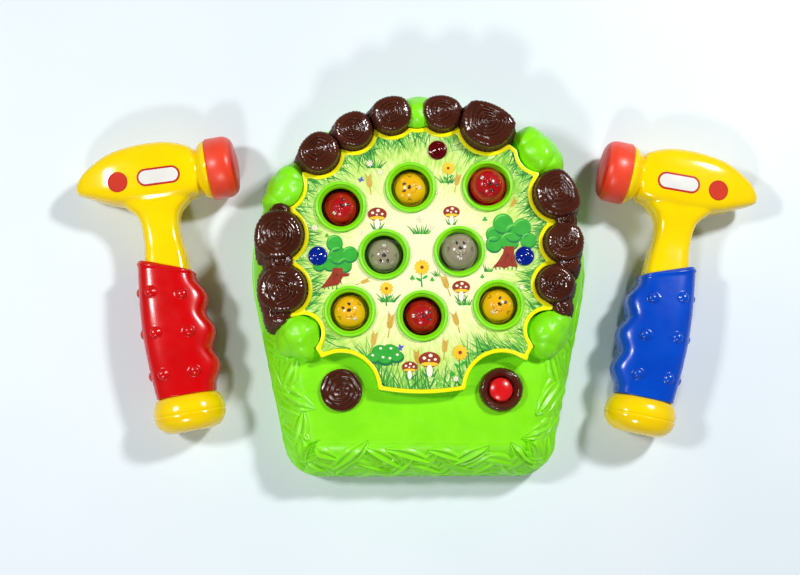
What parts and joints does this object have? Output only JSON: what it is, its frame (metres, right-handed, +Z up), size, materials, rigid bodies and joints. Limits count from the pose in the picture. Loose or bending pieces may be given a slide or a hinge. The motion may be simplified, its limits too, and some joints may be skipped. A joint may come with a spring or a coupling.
{
  "type": "whack-a-mole toy set",
  "caption": "Green game base with spring-up moles in round rims, tree stump walls, a start button and a geared trip drive, with a pair of toy mallets.",
  "frame": {"origin": "on the floor under the middle of the whole set's box", "axes": "+X to the right of the player, +Y away from the player, +Z up"},
  "size_m": [0.4654, 0.255, 0.0667],
  "materials": {
    "housing_green": "moulded, glossy",
    "panel_print": "printed card, satin",
    "border_yellow": "moulded, glossy",
    "stump_brown": "moulded, glossy",
    "lens_blue": "clear tinted, polished",
    "lens_red": "clear tinted, polished",
    "led_white": "clear",
    "board_green": "solder mask",
    "switch_black": "moulded, matt",
    "button_red": "moulded, glossy",
    "spring_steel": "drawn wire",
    "screw_steel": "plated",
    "cell_can": "wrapped can",
    "motor_can": "plated can",
    "foot_rubber": "matt",
    "frame_white": "moulded, matt",
    "gear_white": "moulded, satin",
    "mole_red": "moulded, glossy",
    "mole_yellow": "moulded, glossy",
    "mole_grey": "moulded, glossy",
    "mallet_yellow": "moulded, glossy",
    "pad_orange": "soft, satin",
    "grip_red": "soft, satin",
    "grip_blue": "soft, satin",
    "plug_red": "moulded, glossy"
  },
  "bodies": {
    "base": {"top_cover": "housing_green", "bottom_cover": "housing_green", "battery_door": "housing_green", "playfield_panel": "panel_print", "panel_border": "border_yellow", "stumps_back_left": "stump_brown", "stumps_back_right": "stump_brown", "stumps_right": "stump_brown", "stumps_left": "stump_brown", "stump_ornament": "stump_brown", "button_bezel": "stump_brown", "lens_blue_left": "lens_blue", "lens_blue_right": "lens_blue", "lens_red": "lens_red", "lamp_leds": "led_white", "circuit_board": "board_green", "start_switch": "switch_black", "start_spring": "spring_steel", "speaker": "switch_black", "battery_cells": "cell_can", "battery_contacts": "spring_steel", "case_screws": "screw_steel", "frame_screws": "screw_steel", "rubber_feet": "foot_rubber", "guide_frame": "frame_white", "latch_spider": "frame_white", "gear_axle": "screw_steel", "drive_motor": "motor_can", "mole_spring_1": "spring_steel", "mole_spring_2": "spring_steel", "mole_spring_3": "spring_steel", "mole_spring_4": "spring_steel", "mole_spring_5": "spring_steel", "mole_spring_6": "spring_steel", "mole_spring_7": "spring_steel", "mole_spring_8": "spring_steel"},
    "mole_1_body": {"mole_1": "mole_red"},
    "mole_2_body": {"mole_2": "mole_yellow"},
    "mole_3_body": {"mole_3": "mole_red"},
    "mole_4_body": {"mole_4": "mole_grey"},
    "mole_5_body": {"mole_5": "mole_grey"},
    "mole_6_body": {"mole_6": "mole_yellow"},
    "mole_7_body": {"mole_7": "mole_red"},
    "mole_8_body": {"mole_8": "mole_yellow"},
    "button_body": {"start_button": "button_red"},
    "pinion_body": {"motor_pinion": "gear_white"},
    "reduction_body": {"reduction_gear": "gear_white"},
    "trip_body": {"trip_wheel": "gear_white"},
    "left_mallet": {"left_shell_upper": "mallet_yellow", "left_shell_lower": "mallet_yellow", "left_pad": "pad_orange", "left_grip": "grip_red", "left_butt": "mallet_yellow", "left_plugs": "plug_red"},
    "right_mallet": {"right_shell_upper": "mallet_yellow", "right_shell_lower": "mallet_yellow", "right_pad": "pad_orange", "right_grip": "grip_blue", "right_butt": "mallet_yellow", "right_plugs": "plug_red"}
  },
  "joints": [
    {"name": "mole_1_slide", "type": "slide", "parent": "base", "child": "mole_1_body", "axis": [0, 0, 1], "range_m": [0, 0.01], "deforming": ["mole_spring_1"]},
    {"name": "mole_2_slide", "type": "slide", "parent": "base", "child": "mole_2_body", "axis": [0, 0, 1], "range_m": [0, 0.01], "deforming": ["mole_spring_2"]},
    {"name": "mole_3_slide", "type": "slide", "parent": "base", "child": "mole_3_body", "axis": [0, 0, 1], "range_m": [-0.01, 0], "deforming": ["mole_spring_3"]},
    {"name": "mole_4_slide", "type": "slide", "parent": "base", "child": "mole_4_body", "axis": [0, 0, 1], "range_m": [0, 0.01], "deforming": ["mole_spring_4"]},
    {"name": "mole_5_slide", "type": "slide", "parent": "base", "child": "mole_5_body", "axis": [0, 0, 1], "range_m": [-0.01, 0], "deforming": ["mole_spring_5"]},
    {"name": "mole_6_slide", "type": "slide", "parent": "base", "child": "mole_6_body", "axis": [0, 0, 1], "range_m": [0, 0.01], "deforming": ["mole_spring_6"]},
    {"name": "mole_7_slide", "type": "slide", "parent": "base", "child": "mole_7_body", "axis": [0, 0, 1], "range_m": [0, 0.01], "deforming": ["mole_spring_7"]},
    {"name": "mole_8_slide", "type": "slide", "parent": "base", "child": "mole_8_body", "axis": [0, 0, 1], "range_m": [0, 0.01], "deforming": ["mole_spring_8"]},
    {"name": "start_press", "type": "slide", "parent": "base", "child": "button_body", "axis": [0, 0, -1], "range_m": [0, 0.0025], "stiffness_N_per_m": 300, "springref_m": -0.001, "deforming": ["start_spring"]},
    {"name": "trip_spin", "type": "hinge", "parent": "base", "child": "trip_body", "pos_m": [0.00023, 0.01954, 0.008], "axis": [0, 0, 1], "continuous": true},
    {"name": "reduction_spin", "type": "hinge", "parent": "base", "child": "reduction_body", "pos_m": [0.00414, 0.0417, 0.014], "axis": [0, 0, 1], "continuous": true},
    {"name": "pinion_spin", "type": "hinge", "parent": "base", "child": "pinion_body", "pos_m": [0.01861, 0.04697, 0.022], "axis": [0, 0, 1], "continuous": true},
    {"name": "left_mallet_lift", "type": "slide", "parent": "base", "child": "left_mallet", "axis": [0, 0, 1], "range_m": [0, 0.15]},
    {"name": "right_mallet_lift", "type": "slide", "parent": "base", "child": "right_mallet", "axis": [0, 0, 1], "range_m": [0, 0.15]}
  ],
  "couplings": [
    {"joint": "reduction_spin", "follows": "trip_spin", "ratio": -2.5714},
    {"joint": "pinion_spin", "follows": "trip_spin", "ratio": 5.5102}
  ]
}
